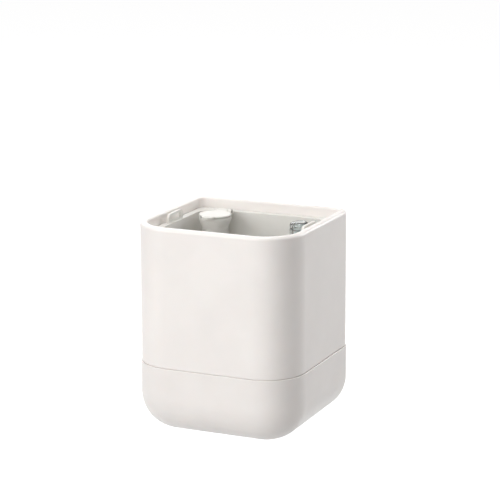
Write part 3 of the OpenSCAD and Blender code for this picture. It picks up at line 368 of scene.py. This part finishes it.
def level_line(name, z):
    """Printed line round the sight cap: a flat band 0.6 mm high that reaches 0.05 mm out of it
    and 0.01 mm into it. Its section is a rounded box, the curve |x| ^ 5 + |y| ^ 5 = 1 stretched,
    which is carried round the cap. z is the height of its middle."""
    low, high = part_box("sight_cap")
    mid = (low + high) / 2
    outer = (high.x - low.x) / 2
    rows, cols, squareness = 16, 96, 0.4
    mid_out, half_thick, half_high = 0.02 * MM, 0.03 * MM, 0.3 * MM
    t = np.linspace(0.0, 2.0 * np.pi, rows, endpoint=False)[:, None]
    a = np.arange(cols)[None, :] * (2.0 * np.pi / cols)
    across, up = [np.sign(c) * np.abs(c) ** squareness for c in (np.cos(t), np.sin(t))]
    r = outer + mid_out + half_thick * across + 0.0 * a
    h = z + half_high * up + 0.0 * a
    points = np.stack([mid.x + r * np.cos(a), mid.y + r * np.sin(a), h], -1)
    piece = smooth_piece(name, points.reshape(-1, 3), ring_quads(rows, cols, True), ink)
    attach(piece, "pot")


# The marker's middle comes to the upper line with the float all the way up, and to the lower
# one with the float about a third of the way up.
ink = screen_ink()
cap_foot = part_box("sight_cap")[0].z
low_up, full_up = 11.0 * MM, 30.2 * MM
level_line("low_level_line", cap_foot + low_up)
level_line("full_level_line", cap_foot + full_up)


def top_face(node):
    """Height of a node's widest flat face that looks up: the most area among its heights."""
    mesh = nodes[node].data
    centre = np.zeros(len(mesh.polygons) * 3)
    normal = np.zeros(len(mesh.polygons) * 3)
    area = np.zeros(len(mesh.polygons))
    mesh.polygons.foreach_get("center", centre)
    mesh.polygons.foreach_get("normal", normal)
    mesh.polygons.foreach_get("area", area)
    flat, decimals = 0.999, 5
    up = normal.reshape(-1, 3)[:, 2] > flat
    heights = np.round(centre.reshape(-1, 3)[:, 2], decimals)
    levels = np.unique(heights[up])
    return float(max(levels, key=lambda h: area[up & (heights == h)].sum()))


def thumb_ridge(name, back):
    """Low rounded bar across the flap's thumb tab: an ellipsoid stretched along X, half sunk in
    the tab. back is its distance from the tab's tip, and it ends 1.2 mm short of the tab's round
    edge."""
    low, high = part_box("filler_flap")
    mid_x = (low.x + high.x) / 2
    tab_r, margin, half_wide, high_by = 5.0 * MM, 1.2 * MM, 0.45 * MM, 0.35 * MM
    rows, cols, first = 15, 20, 0.02
    t = np.linspace(first, 1.0 - first, rows)[:, None] * np.pi
    a = np.arange(cols)[None, :] * (2.0 * np.pi / cols)
    half = np.sqrt(max(tab_r ** 2 - (back - tab_r) ** 2, 0.0)) - margin
    x = mid_x - half * np.cos(t) + 0.0 * a
    y = low.y + back + half_wide * np.sin(t) * np.cos(a)
    z = top_face("filler_flap") + high_by * np.sin(t) * np.sin(a)
    ends = [(mid_x - half, low.y + back, z[0, 0]), (mid_x + half, low.y + back, z[-1, 0])]
    piece = closed_round(name, np.stack([x, y, z], -1), ends, finishes["inner_plastic"])
    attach(piece, "flap")


ridge_pitch = 1.6 * MM
for number in (1, 2, 3):
    thumb_ridge("thumb_ridge_%d" % number, number * ridge_pitch)


# Floor, light and camera

def stage_surface():
    """Pale floor. The light's own bounces meet plain diffuse grey. A ray that is seen meets a
    diffuse tone and nearly white on top, so that the floor is white and keeps a soft shadow."""
    m, tree, out, _ = new_material("pale_floor")
    bounce, shaded, nearly_white = 0.45, 0.4, 0.94
    plain = add(tree, "ShaderNodeBsdfDiffuse", sockets={"Color": (bounce, bounce, bounce, 1.0)})
    tone = add(tree, "ShaderNodeBsdfDiffuse", sockets={"Color": (shaded, shaded, shaded, 1.0)})
    white = add(tree, "ShaderNodeEmission", sockets={
        "Color": (1.0, 1.0, 1.0, 1.0), "Strength": nearly_white})
    both = add(tree, "ShaderNodeAddShader", sockets={0: tone.outputs[0], 1: white.outputs[0]})
    mixed = add(tree, "ShaderNodeMixShader", sockets={
        "Fac": seen_share(tree), 1: plain.outputs[0], 2: both.outputs[0]})
    tree.links.new(mixed.outputs[0], out.inputs["Surface"])
    return m


# The planter hangs on a wall, so the floor lies below it, and below the tank and its plug when
# both are pulled down.
fall = 90.0 * MM
floor_mesh = bpy.data.meshes.new("floor")
reach, floor_z = 6.0, cad_box[0][2] - fall
floor_mesh.from_pydata([(-reach, -reach, floor_z), (reach, -reach, floor_z),
                        (reach, reach, floor_z), (-reach, reach, floor_z)], [], [(0, 1, 2, 3)])
floor_mesh.materials.append(stage_surface())
floor = bpy.data.objects.new("floor", floor_mesh)
bpy.context.scene.collection.objects.link(floor)

world = bpy.data.worlds.new("studio")
bpy.context.scene.world = world
world.use_nodes = True
air = world.node_tree
air.nodes.clear()
soft = add(air, "ShaderNodeBackground", sockets={"Color": linear("#fffafa"), "Strength": 0.10})
white = add(air, "ShaderNodeBackground", sockets={"Color": (1.0, 1.0, 1.0, 1.0), "Strength": 1.0})
mixed = add(air, "ShaderNodeMixShader", sockets={
    "Fac": seen_share(air), 1: soft.outputs[0], 2: white.outputs[0]})
add(air, "ShaderNodeOutputWorld", sockets={"Surface": mixed.outputs[0]})

# The point that the softboxes aim at, and their distance from it
middle = Vector((0.0, -0.07, -0.04))
away = 1.9


def softbox(name, turn, lift, size, level):
    """Square softbox, aimed at the object. turn is its azimuth from the front, positive to the
    right, lift its height angle. Its power is level x pi^2 x away^2, so that a white surface
    square to it gets that level."""
    light = bpy.data.lights.new(name, "AREA")
    light.shape = "SQUARE"
    light.size = size
    light.energy = level * np.pi ** 2 * away ** 2
    a, e = np.radians(turn), np.radians(lift)
    out_to = Vector((np.sin(a) * np.cos(e), -np.cos(a) * np.cos(e), np.sin(e)))
    lamp = bpy.data.objects.new(name, light)
    lamp.location = middle + out_to * away
    lamp.rotation_euler = out_to.to_track_quat("Z", "Y").to_euler()
    bpy.context.scene.collection.objects.link(lamp)


# The two in front are low, so that the tank's rolled edge stays light.
softbox("key_softbox", turn=-32.0, lift=20.0, size=1.2, level=0.52)
softbox("front_softbox", turn=14.0, lift=14.0, size=1.2, level=0.34)
softbox("side_softbox", turn=147.0, lift=20.0, size=1.0, level=0.475)
softbox("back_softbox", turn=-140.0, lift=30.0, size=1.0, level=0.22)
softbox("top_softbox", turn=0.0, lift=90.0, size=1.0, level=0.53)

# The photograph's view: 1.6 m away, 24 degrees right of the front and 13 degrees above it.
camera = bpy.data.objects.new("camera", bpy.data.cameras.new("camera"))
camera.data.sensor_width = 36.0
camera.data.lens = 138.0
camera.location = (0.6256, -1.4420, 0.3703)
aim = Vector((-0.3993, 0.8882, -0.2271)).to_track_quat("-Z", "Y")
roll = Quaternion((0.0, 0.0, 1.0), np.radians(-0.195))
camera.rotation_euler = (aim @ roll).to_euler()
bpy.context.scene.collection.objects.link(camera)
bpy.context.scene.camera = camera
bpy.context.scene.view_settings.view_transform = "Standard"
